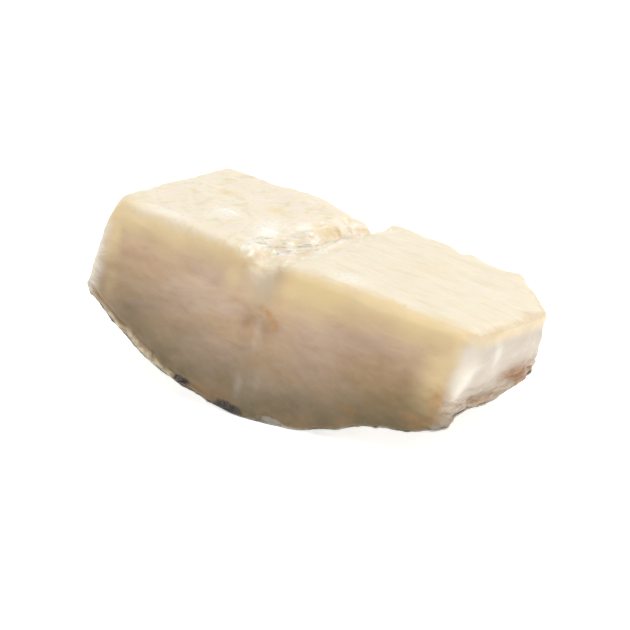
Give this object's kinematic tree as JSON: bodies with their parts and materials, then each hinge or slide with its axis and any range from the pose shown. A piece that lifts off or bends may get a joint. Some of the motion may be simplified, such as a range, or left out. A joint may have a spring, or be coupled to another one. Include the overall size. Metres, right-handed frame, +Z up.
{
  "type": "salted dried cod piece",
  "caption": "Thick cross-cut piece of salted dried cod with a flat top, a shallow backbone groove and a rounded skin side, for fishmonger, pantry and kitchen scenes.",
  "frame": {"origin": "on the surface that the piece lies on, under the middle of its bounding box", "axes": "+X along the piece towards its slanted end, +Y from the front cut to the back cut, +Z up"},
  "size_m": [0.1352, 0.086, 0.0543],
  "materials": {
    "cod_flesh": "moist cured flesh, cream on the top, pinkish tan on the cuts, with mottled grey skin underneath"
  },
  "bodies": {
    "root": {"cod_piece": "cod_flesh"}
  },
  "joints": []
}
